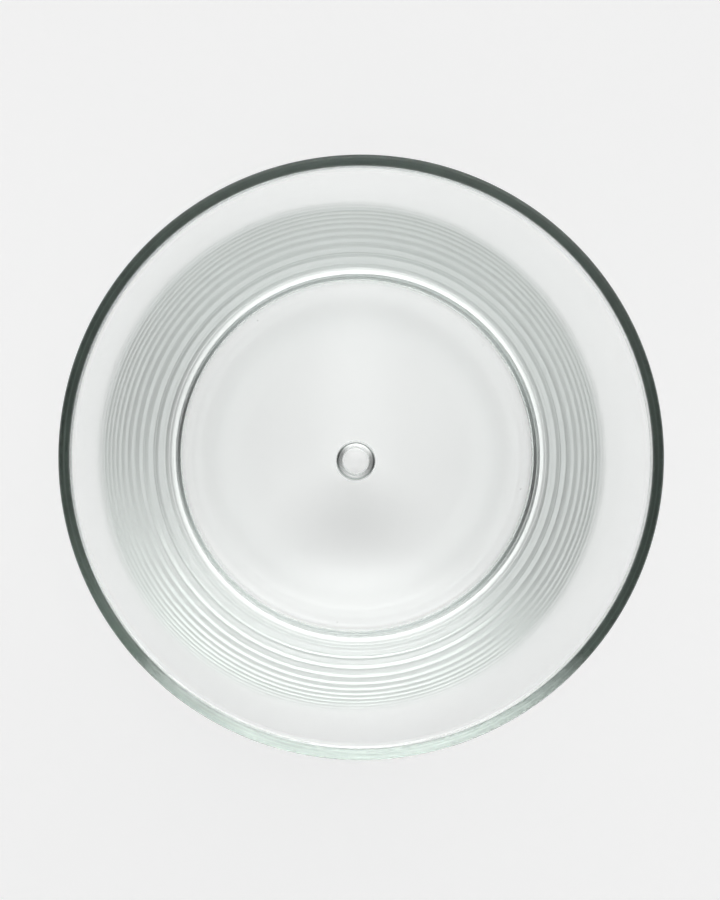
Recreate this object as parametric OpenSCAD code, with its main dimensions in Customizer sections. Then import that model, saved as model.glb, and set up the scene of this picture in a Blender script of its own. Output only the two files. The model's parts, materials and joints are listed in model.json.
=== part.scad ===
// Mixing glass: a first gather of glass (the cup) cased below by a second, heavier gather,
// with one round air bubble trapped on the seam between them.

/* [Glass] */
// Overall height
glass_h = 150; // [130:1:200]
// Outside diameter at the rim
rim_d = 90; // [80:0.5:110]
// Outside diameter just above the rounded heel
base_d = 73.4; // [64:0.2:78]
// Share of the wall's height over which the taper eases into the straight mouth
taper_blend = 0.05; // [0.05:0.05:0.9]

/* [Wall] */
// Wall thickness at the mouth, kept down to where the wall starts to thicken
mouth_wall = 1.7; // [1.5:0.1:3]
// Height of the straight band at the mouth, rim included
mouth_h = 5; // [5:1:20]
// Height at which the wall starts to thicken on its way down
thick_z = 102; // [90:1:110]
// Wall thickness at the top of the floor's corner curve
low_wall = 4.8; // [4.2:0.1:7]
// How late the wall thickens on its way down (1 is even)
wall_curve = 2.15; // [1:0.05:2.2]

/* [Floor] */
// Height of the inside floor's edge above the table
floor_z = 15.5; // [14:0.5:26]
// Rise of the inside floor at its centre
floor_rise = 1.1; // [0:0.1:3]
// Height of the curve between floor and wall
corner_h = 5; // [3:0.5:14]
// Width of the curve between floor and wall
corner_w = 3.5; // [2:0.5:8]

/* [Foot] */
// Radius of the rounded heel
heel_r = 13; // [4:0.5:14]
// Width of the flat ring that the glass stands on
foot_w = 3.5; // [2:0.5:9]
// Height of the hollow inside the foot ring
punt_h = 0.9; // [0.4:0.1:1.5]

/* [Seam] */
// Height of the seam where it crosses the axis, and of the bubble's centre
seam_z = 8; // [6:0.5:9]
// Diameter of the trapped bubble
bubble_d = 7.2; // [3:0.1:8]
// Height at which the second gather ends
casing_h = 92; // [50:1:95]
// Thickness of the second gather at its top edge
casing_edge = 0.6; // [0.3:0.1:0.8]
// Thickness of the second gather above the seam's corner
casing_low = 2.4; // [1.4:0.1:2.5]
// Height of the seam's corner curve above the seam
seam_corner_h = 15; // [6:0.5:16]
// Width of the seam's corner curve
seam_corner_w = 13; // [8:0.5:14]

/* [Hidden] */
rim_r = rim_d / 2;
base_r = base_d / 2;
mouth_z = glass_h - mouth_h;
lip_r = mouth_wall / 2;
foot_r = base_r - heel_r;
foot_in_r = foot_r - foot_w;
punt_arc_r = (foot_in_r * foot_in_r + punt_h * punt_h) / (2 * punt_h);
corner_z = floor_z + corner_h;
seam_top_z = seam_z + seam_corner_h;
wall_steps = 28;
arc_steps = 14;
punt_steps = 10;
fine = 120;
glass_colour = [0.86, 0.92, 0.89, 0.35];
casing_colour = [0.80, 0.89, 0.85, 0.35];

// Share of the taper reached at share u of the wall's height: straight, then easing to upright.
function taper(u) =
    let (late = max(0, u - (1 - taper_blend)))
    (u - late * late / (2 * taper_blend)) / (1 - taper_blend / 2);

// Outside radius at height z, above the heel.
function outer_r(z) = base_r + (rim_r - base_r) * taper(min(1, (z - heel_r) / (mouth_z - heel_r)));

// Wall thickness at height z, above the floor's corner.
function wall_t(z) =
    mouth_wall + (low_wall - mouth_wall) * pow(max(0, (thick_z - z) / (thick_z - corner_z)), wall_curve);

function inner_r(z) = outer_r(z) - wall_t(z);

// Thickness of the second gather at height z, above the seam's corner.
function casing_t(z) =
    casing_edge + (casing_low - casing_edge) * (casing_h - z) / (casing_h - seam_top_z);

function seam_r(z) = outer_r(z) - casing_t(z);

// Part of an ellipse, from angle a to angle b.
function arc(cx, cz, w, h, a, b, steps) =
    [for (i = [0 : steps]) let (t = a + (b - a) * i / steps) [cx + w * cos(t), cz + h * sin(t)]];

// A stretch of the outside, upward from height a to height b.
function outside(a, b, steps) = [for (i = [0 : steps]) let (z = a + (b - a) * i / steps) [outer_r(z), z]];

// The hollow under the foot, from the axis to the foot ring.
punt_line = [for (i = [0 : punt_steps]) let (r = foot_in_r * i / punt_steps)
    [r, punt_h - punt_arc_r + sqrt(punt_arc_r * punt_arc_r - r * r)]];

// The rounded heel, from the foot ring to the wall.
heel_line = arc(foot_r, heel_r, heel_r, heel_r, -90, 0, arc_steps);

// The seam, from the axis outward and up to the second gather's top edge.
seam_line = concat(
    [[0, seam_z]],
    arc(seam_r(seam_top_z) - seam_corner_w, seam_top_z, seam_corner_w, seam_corner_h, -90, 0, arc_steps),
    [for (i = [1 : wall_steps]) let (z = seam_top_z + (casing_h - seam_top_z) * i / wall_steps)
        [seam_r(z), z]]
);

// The rounded lip, from the outside over to the inside.
lip_line = arc(rim_r - lip_r, glass_h - lip_r, lip_r, lip_r, 0, 180, arc_steps);

// The inside, from the foot of the straight mouth down to the floor's edge and the axis.
inside_line = concat(
    [for (i = [0 : wall_steps]) let (z = mouth_z + (corner_z - mouth_z) * i / wall_steps)
        [inner_r(z), z]],
    [for (i = [1 : arc_steps]) let (t = 90 * i / arc_steps)
        [inner_r(corner_z) - corner_w * (1 - cos(t)), corner_z - corner_h * sin(t)]],
    [[0, floor_z + floor_rise]]
);

module bubble() {
    translate([0, 0, seam_z])
        sphere(d = bubble_d, $fn = fine);
}

// First gather: the whole inside, the mouth, the upper outside and the upper half of the base.
module cup() {
    color(glass_colour)
        difference() {
            rotate_extrude($fn = fine)
                polygon(concat(
                    seam_line,
                    outside(casing_h, mouth_z, wall_steps),
                    lip_line,
                    inside_line
                ));
            bubble();
        }
}

// Second gather: the foot, the heel and the lower outside, flush with the first where it ends.
module casing() {
    color(casing_colour)
        difference() {
            rotate_extrude($fn = fine)
                polygon(concat(
                    punt_line,
                    heel_line,
                    [for (p = outside(heel_r, casing_h, wall_steps)) if (p[1] > heel_r) p],
                    [for (i = [len(seam_line) - 1 : -1 : 0]) seam_line[i]]
                ));
            bubble();
        }
}

cup();
casing();
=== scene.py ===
"""Looks for the mixing glass: one smooth lathed vessel with a trapped bubble, on a pale floor."""

import json
import math

import bpy
import numpy as np
from mathutils import Matrix, Vector


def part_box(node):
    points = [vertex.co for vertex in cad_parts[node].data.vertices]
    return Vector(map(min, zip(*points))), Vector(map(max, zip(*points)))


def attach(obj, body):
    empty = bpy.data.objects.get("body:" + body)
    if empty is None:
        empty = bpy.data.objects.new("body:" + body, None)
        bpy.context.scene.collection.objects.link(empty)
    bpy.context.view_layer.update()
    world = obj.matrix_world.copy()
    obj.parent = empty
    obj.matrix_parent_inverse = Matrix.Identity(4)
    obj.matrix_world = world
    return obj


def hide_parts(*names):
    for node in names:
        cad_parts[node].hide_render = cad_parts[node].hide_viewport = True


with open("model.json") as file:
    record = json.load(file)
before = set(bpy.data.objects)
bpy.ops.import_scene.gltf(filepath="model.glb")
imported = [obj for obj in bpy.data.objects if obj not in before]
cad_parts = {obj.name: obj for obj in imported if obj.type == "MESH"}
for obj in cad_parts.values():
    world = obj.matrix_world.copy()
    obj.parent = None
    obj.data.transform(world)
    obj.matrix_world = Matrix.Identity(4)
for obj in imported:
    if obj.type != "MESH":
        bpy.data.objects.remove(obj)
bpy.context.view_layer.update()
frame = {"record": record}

MM = 0.001

# ---- Driving dimensions, from the frame ----
_, CUP_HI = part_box("cup")
MOUTH = {m["name"]: m for m in frame["record"]["mounts"]}["mouth"]["dims"]
GLASS_H = CUP_HI.z
RIM_R = CUP_HI.x
MOUTH_WALL = RIM_R - MOUTH["r_mm"] * MM
LIP_R = MOUTH_WALL / 2
LIP_Z = GLASS_H - LIP_R
MOUTH_Z = LIP_Z - MOUTH["length_mm"] * MM

# ---- Dimensions that the frame's boxes don't state, as in the part's source ----
BASE_R = 36.7 * MM
TAPER_BLEND = 0.05
HEEL_R = 13 * MM
FOOT_W = 3.5 * MM
PUNT_H = 0.9 * MM
THICK_Z = 102 * MM
LOW_WALL = 4.8 * MM
WALL_CURVE = 2.15
FLOOR_Z = 15.5 * MM
FLOOR_RISE = 1.1 * MM
CORNER_H = 5 * MM
CORNER_W = 3.5 * MM
BUBBLE_Z = 8 * MM
BUBBLE_R = 3.6 * MM
FOOT_R = BASE_R - HEEL_R
FOOT_IN_R = FOOT_R - FOOT_W
PUNT_BOW = (FOOT_IN_R ** 2 + PUNT_H ** 2) / (2 * PUNT_H)
CORNER_Z = FLOOR_Z + CORNER_H

# ---- Hand-made character ----
HIGH_SIDE = math.pi             # the heavy lower wall climbs highest towards -X
HIGH_BY = 10 * MM               # how far above or below its mean height it starts there
HEAVY_BY = 0.3 * MM             # how much thicker than the mean it gets there
WAVER = 0.004 * MM              # slow unevenness of the blown surface
BUBBLE_SHIFT = -0.9 * MM        # the trapped bubble's drift along Y
BUBBLE_FLAT = 0.8               # its height as a share of its width
SEEDS = 4                       # tiny air seeds left in the base
SEED_R = 0.14 * MM
SEED_RING = 31 * MM
SEED_Z = 11 * MM
SEED_START = -0.2
GOLDEN_ANGLE = math.pi * (3 - math.sqrt(5))

# ---- Points along each stretch of the outline, and around the glass ----
PUNT_POINTS = 28
FOOT_POINTS = 6
HEEL_STEPS = 40
OUTSIDE_POINTS = 90
BAND_POINTS = 8
LIP_STEPS = 24
INSIDE_POINTS = 160
CORNER_POINTS = 44
FLOOR_POINTS = 40
BALL_POINTS = 41
SEGMENTS = 288


def taper(u):
    """Share of the taper reached at share u of the wall's height: straight, then easing to upright."""
    late = max(0.0, u - (1 - TAPER_BLEND))
    return (u - late * late / (2 * TAPER_BLEND)) / (1 - TAPER_BLEND / 2)


def outer_r(z):
    return BASE_R + (RIM_R - BASE_R) * taper(min(1.0, (z - HEEL_R) / (MOUTH_Z - HEEL_R)))


def inner_r(z, lean):
    """Inside radius at height z; lean runs from 1 on the heavy side to -1 on the light one."""
    thick_z = THICK_Z + HIGH_BY * lean
    down = max(0.0, (thick_z - z) / (thick_z - CORNER_Z))
    return outer_r(z) - MOUTH_WALL - (LOW_WALL + HEAVY_BY * lean - MOUTH_WALL) * down ** WALL_CURVE


def after(start, stop, points):
    """Evenly spread values from start to stop, without the first."""
    return np.linspace(start, stop, points)[1:]


def arc(cx, cz, w, h, start, stop, steps):
    """Points of part of an ellipse, from angle start to angle stop in degrees, without the first."""
    return [(cx + w * math.cos(a), cz + h * math.sin(a)) for a in np.radians(after(start, stop, steps + 1))]


def waver(z, angle):
    """Slow unevenness of the wall, none at the mouth or the foot."""
    fade = math.sin(math.pi * min(1.0, max(0.0, (z - HEEL_R) / (MOUTH_Z - HEEL_R))))
    return WAVER * fade * (math.sin(2 * angle + 40 * z) + 0.6 * math.sin(3 * angle - 65 * z + 1.1))


def floor_height(share):
    """Height of the inside floor at a share of the way from its centre to its edge."""
    return FLOOR_Z + FLOOR_RISE * (1 + math.cos(math.pi * share)) / 2


def outline(angle):
    """One side of the glass: from the axis under the foot, over the lip, and down to the axis inside."""
    lean = math.cos(angle - HIGH_SIDE)
    edge = inner_r(CORNER_Z, lean) - CORNER_W
    punt = [(r, PUNT_H - PUNT_BOW + math.sqrt(PUNT_BOW ** 2 - r * r))
            for r in np.linspace(0, FOOT_IN_R, PUNT_POINTS)]
    foot = [(r, 0.0) for r in after(FOOT_IN_R, FOOT_R, FOOT_POINTS)]
    heel = arc(FOOT_R, HEEL_R, HEEL_R, HEEL_R, -90, 0, HEEL_STEPS)
    outside = [(outer_r(z) + waver(z, angle), z) for z in after(HEEL_R, MOUTH_Z, OUTSIDE_POINTS)]
    band = [(RIM_R, z) for z in after(MOUTH_Z, LIP_Z, BAND_POINTS)]
    lip = arc(RIM_R - LIP_R, LIP_Z, LIP_R, LIP_R, 0, 180, LIP_STEPS)
    inside = [(inner_r(z, lean) + waver(z, angle + 1), z) for z in after(LIP_Z, CORNER_Z, INSIDE_POINTS)]
    corner = [(edge + CORNER_W * math.cos(a), CORNER_Z - CORNER_H * math.sin(a))
              for a in after(0, math.pi / 2, CORNER_POINTS)]
    floor = [(edge * share, floor_height(share)) for share in after(1, 0, FLOOR_POINTS)]
    return punt + foot + heel + outside + band + lip + inside + corner + floor


def lathe(outline_at):
    """Vertices and faces of a turned solid.

    outline_at(angle) runs from axis to axis and always has the same number of points.
    """
    angles = np.arange(SEGMENTS) * 2 * math.pi / SEGMENTS
    columns = [outline_at(a) for a in angles]
    rings = len(columns[0]) - 2
    verts = [(0.0, 0.0, columns[0][0][1])]
    for i in range(1, rings + 1):
        verts += [(c[i][0] * math.cos(a), c[i][0] * math.sin(a), c[i][1]) for a, c in zip(angles, columns)]
    verts.append((0.0, 0.0, columns[0][-1][1]))
    last = len(verts) - 1
    top = 1 + (rings - 1) * SEGMENTS
    faces = []
    for j in range(SEGMENTS):
        k = (j + 1) % SEGMENTS
        faces.append((0, 1 + k, 1 + j))
        for a in range(1, top, SEGMENTS):
            faces.append((a + j, a + k, a + SEGMENTS + k, a + SEGMENTS + j))
        faces.append((top + j, top + k, last))
    return verts, faces


def air_ball(radius, flat, x, y, z):
    """Vertices and faces of a trapped ball of air, run downward so that its faces look into the air."""
    turns = np.linspace(0, math.pi, BALL_POINTS)
    ball = [(radius * math.sin(t), radius * flat * math.cos(t)) for t in turns]
    verts, faces = lathe(lambda _: ball)
    return [(x + a, y + b, z + c) for a, b, c in verts], faces


def make_mesh(name, verts, faces):
    mesh = bpy.data.meshes.new(name)
    mesh.from_pydata(verts, [], faces)
    mesh.validate()
    for p in mesh.polygons:
        p.use_smooth = True
    piece = bpy.data.objects.new(name, mesh)
    bpy.context.collection.objects.link(piece)
    return piece


def make_vessel():
    verts, faces = lathe(outline)
    balls = [air_ball(BUBBLE_R, BUBBLE_FLAT, 0, BUBBLE_SHIFT, BUBBLE_Z)]
    for i in range(SEEDS):
        angle = SEED_START + i * GOLDEN_ANGLE
        balls.append(air_ball(SEED_R, 1.0, SEED_RING * math.cos(angle), SEED_RING * math.sin(angle), SEED_Z))
    for more, more_faces in balls:
        shift = len(verts)
        verts += more
        faces += [tuple(i + shift for i in f) for f in more_faces]
    return make_mesh("vessel_glass", verts, faces)


# ---- Materials ----
GLASS_IOR = 1.5
GLASS_GREEN = (0.12, 0.24, 0.17, 1)
GLASS_DENSITY = 5.0
# Painted shade for the lip: a dark colour standing in for the dark surroundings seen through it
LIP_PAINTED_SHADE = (0.035, 0.048, 0.039, 1)
CLEAR = (1, 1, 1, 1)
TABLE_GLOW = 0.285              # the table's own light
# Painted shade: the table's glow is dimmed where light mirrored more than twice in the glass sees it,
# standing in for the shade around the heel
TABLE_GLOW_MIRRORED = 0.1       # the same, as seen by light mirrored more than twice in the glass


class Nodes:
    """A short way to wire a node tree."""

    def __init__(self, tree):
        self.tree = tree
        tree.nodes.clear()

    def add(self, kind, inputs=(), **settings):
        node = self.tree.nodes.new(kind)
        for key, value in settings.items():
            setattr(node, key, value)
        for key, value in dict(inputs).items():
            if isinstance(value, bpy.types.NodeSocket):
                self.tree.links.new(value, node.inputs[key])
            else:
                node.inputs[key].default_value = value
        return node

    def math(self, operation, a, b=0.0, c=0.0):
        return self.add("ShaderNodeMath", {0: a, 1: b, 2: c}, operation=operation).outputs[0]

    def span(self, value, start, stop, kind="LINEAR"):
        """0 where value is start, 1 where it is stop."""
        inputs = {"Value": value, "From Min": start, "From Max": stop}
        return self.add("ShaderNodeMapRange", inputs, interpolation_type=kind).outputs[0]

    def colours(self, share, start, stop):
        """The colour start at share 0, stop at share 1."""
        return self.add("ShaderNodeMix", {0: share, 6: start, 7: stop}, data_type="RGBA").outputs[2]

    def length(self, a, b):
        return self.math("SQRT", self.math("ADD", self.math("MULTIPLY", a, a), self.math("MULTIPLY", b, b)))

    def ramp(self, value, stops):
        """A value that runs straight from stop to stop; stops are (position, value) pairs."""
        node = self.add("ShaderNodeValToRGB", {0: value})
        ramp = node.color_ramp
        ramp.interpolation = "LINEAR"
        while len(ramp.elements) < len(stops):
            ramp.elements.new(0.5)
        for element, (position, level) in zip(ramp.elements, stops):
            element.position = position
            element.color = (level, level, level, 1)
        return node.outputs[0]


def new_material(name):
    material = bpy.data.materials.new(name)
    material.use_nodes = True
    return material, Nodes(material.node_tree)


def glass_material():
    material, n = new_material("clear_glass")
    place = n.add("ShaderNodeTexCoord").outputs["Object"]
    # Faint striae of the blown wall: long level waves.
    stretch = n.add("ShaderNodeMapping", {"Vector": place, "Scale": (9.0, 9.0, 26.0)})
    striae = n.add("ShaderNodeTexNoise", {"Vector": stretch.outputs[0], "Scale": 2.2, "Detail": 1.0})
    bump = n.add("ShaderNodeBump", {"Height": striae.outputs[0], "Strength": 0.004, "Distance": 0.001})
    # Finger-dry film: a trace of roughness in slow patches.
    film = n.add("ShaderNodeTexNoise", {"Vector": place, "Scale": 38.0, "Detail": 4.0})
    rough = n.math("MULTIPLY", n.span(film.outputs[0], 0.35, 0.8), 0.002)
    # The fire-polished lip carries painted shade: its colour is darkened to stand in for the dark
    # surroundings seen through it, least towards -Y, its lit side.
    _, y, height = n.add("ShaderNodeSeparateXYZ", {0: place}).outputs
    lip = n.span(height, GLASS_H - 1.5 * LIP_R, LIP_Z)
    lip_painted_shade_share = n.span(y, -1.0 * RIM_R, -0.65 * RIM_R)
    surface = n.add("ShaderNodeBsdfPrincipled", {
        "Base Color": n.colours(n.math("MULTIPLY", lip, lip_painted_shade_share), CLEAR, LIP_PAINTED_SHADE),
        "Roughness": rough,
        "IOR": GLASS_IOR,
        "Transmission Weight": 1.0,
        "Normal": bump.outputs[0],
    })
    inside = n.add("ShaderNodeVolumeAbsorption", {"Color": GLASS_GREEN, "Density": GLASS_DENSITY})
    n.add("ShaderNodeOutputMaterial", {"Surface": surface.outputs[0], "Volume": inside.outputs[0]})
    return material


def piped_light(n):
    """1 for light that has been mirrored more than twice inside the glass wall, else 0."""
    return n.math("GREATER_THAN", n.add("ShaderNodeLightPath").outputs["Glossy Depth"], 2.5)


def floor_material():
    """A pale light table: partly lit from within, partly matt, with painted light and painted shading under
    the base.
    """
    material, n = new_material("floor")
    place = n.add("ShaderNodeTexCoord").outputs["Object"]
    x, y, _ = n.add("ShaderNodeSeparateXYZ", {0: place}).outputs
    cloud = n.add("ShaderNodeTexNoise", {"Vector": place, "Scale": 3.0, "Detail": 2.0})
    tone = n.add("ShaderNodeMapRange", {"Value": cloud.outputs[0], "To Min": 0.84, "To Max": 0.86})
    matt = n.add("ShaderNodeBsdfDiffuse", {"Color": tone.outputs[0]})

    def painted_patch(centre_y, width, depth, level):
        """Painted light of this level in the middle of a soft oval on the Y axis, none outside it; a level
        below 0 paints shading.
        """
        across = n.math("DIVIDE", x, width * BASE_R)
        along = n.math("DIVIDE", n.math("SUBTRACT", y, centre_y * BASE_R), depth * BASE_R)
        return n.math("MULTIPLY", n.span(n.length(across, along), 1.0, 0.0, "SMOOTHSTEP"), level)

    # Painted light and shading under the base: a painted crescent of light where the heavy base would gather
    # the light from behind, a painted darker spot inside it, and a faint painted wedge of light towards +Y.
    shade = painted_patch(-0.33, 0.5, 0.3, -0.14)
    painted_crescent = painted_patch(-0.68, 0.75, 0.26, 0.12)
    painted_wedge = painted_patch(0.45, 0.3, 0.7, 0.05)
    patches = n.math("ADD", n.math("ADD", shade, painted_crescent), painted_wedge)
    straight = n.math("ADD", patches, TABLE_GLOW)
    # Painted shade: light piped in the glass sees the table at the dimmer TABLE_GLOW_MIRRORED, without the
    # painted patches
    glow = n.add("ShaderNodeMix", {0: piped_light(n), 2: straight, 3: TABLE_GLOW_MIRRORED}).outputs[0]
    lit = n.add("ShaderNodeEmission", {"Strength": glow})
    both = n.add("ShaderNodeAddShader", {0: matt.outputs[0], 1: lit.outputs[0]})
    n.add("ShaderNodeOutputMaterial", {"Surface": both.outputs[0]})
    return material


# ---- Studio light ----
# Each shape gives levels at heights, as shares of the way from level (0) to overhead (1).
HORIZON = ((0.0, 1.0), (0.09, 0.75), (0.18, 0.0))
STRIP = ((0.04, 0.0), (0.11, 1.0), (0.18, 0.8), (0.3, 0.0))
WALLS = ((0.0, 0.0), (0.18, 1.0), (0.42, 1.0), (0.73, 0.0))
WINDOW = ((0.0, 0.0), (0.09, 0.2), (0.18, 1.0), (0.29, 1.0), (0.42, 0.2), (0.58, 0.0))
UPPER_WINDOW = ((0.29, 0.0), (0.42, 0.8), (0.58, 1.0), (0.73, 0.0))
SOFTBOX = ((0.42, 0.0), (0.58, 0.8), (0.73, 1.0), (0.89, 0.5), (1.0, 0.3))
OVERHEAD = ((0.73, 0.0), (0.89, 0.6), (1.0, 1.0))
WINDOW_TURN = math.radians(10)     # how far the window and the softboxes stand from +Y towards +X
PIPED_TINT = (0.93, 1.0, 0.99, 1)
SIDES_ONCE = 0.3                   # share left at the sides of light that is mirrored once


def studio_world():
    """Soft light from overhead, in front (-Y) and behind (+Y), between dim walls with a pale horizon."""
    world = bpy.data.worlds.new("studio")
    bpy.context.scene.world = world
    world.use_nodes = True
    n = Nodes(world.node_tree)
    way = n.add("ShaderNodeTexCoord").outputs["Generated"]
    x, y, z = n.add("ShaderNodeSeparateXYZ", {0: way}).outputs
    height = n.math("DIVIDE", n.math("ARCSINE", z), math.pi / 2)
    ahead = n.math("MULTIPLY_ADD", x, math.sin(WINDOW_TURN), n.math("MULTIPLY", y, math.cos(WINDOW_TURN)))
    behind = n.math("DIVIDE", ahead, n.math("MAXIMUM", n.length(x, y), 0.0001))
    in_line = n.math("MULTIPLY", behind, behind)

    # How often the light was mirrored on its way to the eye; what reaches the eye by the floor counts as 0.
    path = n.add("ShaderNodeLightPath").outputs
    mirrorings = n.math("MULTIPLY", path["Glossy Depth"], n.math("LESS_THAN", path["Diffuse Depth"], 0.5))
    direct = n.math("LESS_THAN", mirrorings, 0.5)
    once = n.math("COMPARE", mirrorings, 1.0, 0.4)
    twice = n.math("COMPARE", mirrorings, 2.0, 0.4)
    piped = piped_light(n)

    def facing(start, end):
        return n.span(behind, start, end, "SMOOTHSTEP")

    def ends(least):
        """1 for direct light; for mirrored light 1 in front and behind, and less at the sides.

        There it is SIDES_ONCE after one mirroring and least after more.
        """
        side = n.math("MULTIPLY_ADD", once, SIDES_ONCE - least, least)
        beside = n.math("MULTIPLY", n.math("SUBTRACT", 1.0, in_line), side)
        return n.math("MAXIMUM", direct, n.math("ADD", in_line, beside))

    # Each light: its shape over height, the share of it that counts this way, its level straight and piped.
    lights = (
        (HORIZON, ends(0.2), 0.72, 0.3),
        (STRIP, twice, 1.6, 0.0),
        (WALLS, ends(0.55), 0.65, 0.4),
        (OVERHEAD, 1.0, 1.15, 0.0),
        (SOFTBOX, facing(0.0, -0.9), 0.5, 1.4),
        (SOFTBOX, facing(0.0, 0.9), 0.45, 0.45),
        (WINDOW, facing(0.4, 0.9), 0.3, 5.0),
        (WINDOW, n.math("MULTIPLY", once, facing(0.4, 0.9)), 1.6, 0.0),
        (UPPER_WINDOW, facing(0.4, 0.9), 0.6, 0.9),
    )
    total = 0.0
    for shape, share, straight, piped_level in lights:
        strength = n.math("MULTIPLY_ADD", piped, piped_level - straight, straight)
        spread = n.math("MULTIPLY", n.ramp(height, shape), share)
        total = n.math("ADD", total, n.math("MULTIPLY", spread, strength))
    tinted = n.math("MULTIPLY", piped, n.math("SUBTRACT", 1.0, facing(0.0, 0.9)))
    light = n.add("ShaderNodeBackground", {"Color": n.colours(tinted, CLEAR, PIPED_TINT), "Strength": total})
    n.add("ShaderNodeOutputWorld", {"Surface": light.outputs[0]})


FLOOR_HALF = 6.0                # half the floor's width, in metres
FLOOR_DROP = 0.05 * MM          # the floor's gap under the foot


def make_floor():
    corners = [(x * FLOOR_HALF, y * FLOOR_HALF, 0) for x, y in ((-1, -1), (1, -1), (1, 1), (-1, 1))]
    floor = make_mesh("floor", corners, [(0, 1, 2, 3)])
    floor.location.z = -FLOOR_DROP
    floor.data.materials.append(floor_material())


# ---- Camera, almost straight above the mouth ----
VIEW_DROP = 640 * MM            # from the camera down to the rim
CAMERA_X = -4.6 * MM
CAMERA_Y = 1.4 * MM
AIM_X = -0.2 * MM
AIM_Y = 1.1 * MM
FRAME_TALL = 133.5 * MM         # height of the picture at the rim's level
SENSOR_MM = 36.0


def make_camera():
    cam = bpy.data.objects.new("camera", bpy.data.cameras.new("camera"))
    bpy.context.collection.objects.link(cam)
    cam.data.sensor_width = SENSOR_MM
    cam.data.lens = SENSOR_MM * VIEW_DROP / FRAME_TALL
    spot = Vector((CAMERA_X, CAMERA_Y, GLASS_H + VIEW_DROP))
    back = (spot - Vector((AIM_X, AIM_Y, GLASS_H))).normalized()
    right = Vector((0, 1, 0)).cross(back).normalized()
    cam.matrix_world = Matrix((right, back.cross(right), back)).transposed().to_4x4()
    cam.location = spot
    cam.data.clip_start = 0.01
    cam.data.clip_end = 50
    bpy.context.scene.camera = cam


LIGHT_BOUNCES = 48              # the rim and the rings get much of their light after many mirrorings

scene = bpy.context.scene
vessel = make_vessel()
vessel.data.materials.append(glass_material())
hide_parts("cup", "casing")
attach(vessel, "root")
make_floor()
studio_world()
make_camera()

scene.cycles.max_bounces = LIGHT_BOUNCES
scene.cycles.transmission_bounces = LIGHT_BOUNCES
scene.cycles.glossy_bounces = LIGHT_BOUNCES
scene.cycles.caustics_refractive = True
scene.cycles.caustics_reflective = True
scene.cycles.sample_clamp_indirect = 0.0
scene.cycles.blur_glossy = 0.0
scene.view_settings.view_transform = "Standard"
scene.view_settings.look = "None"
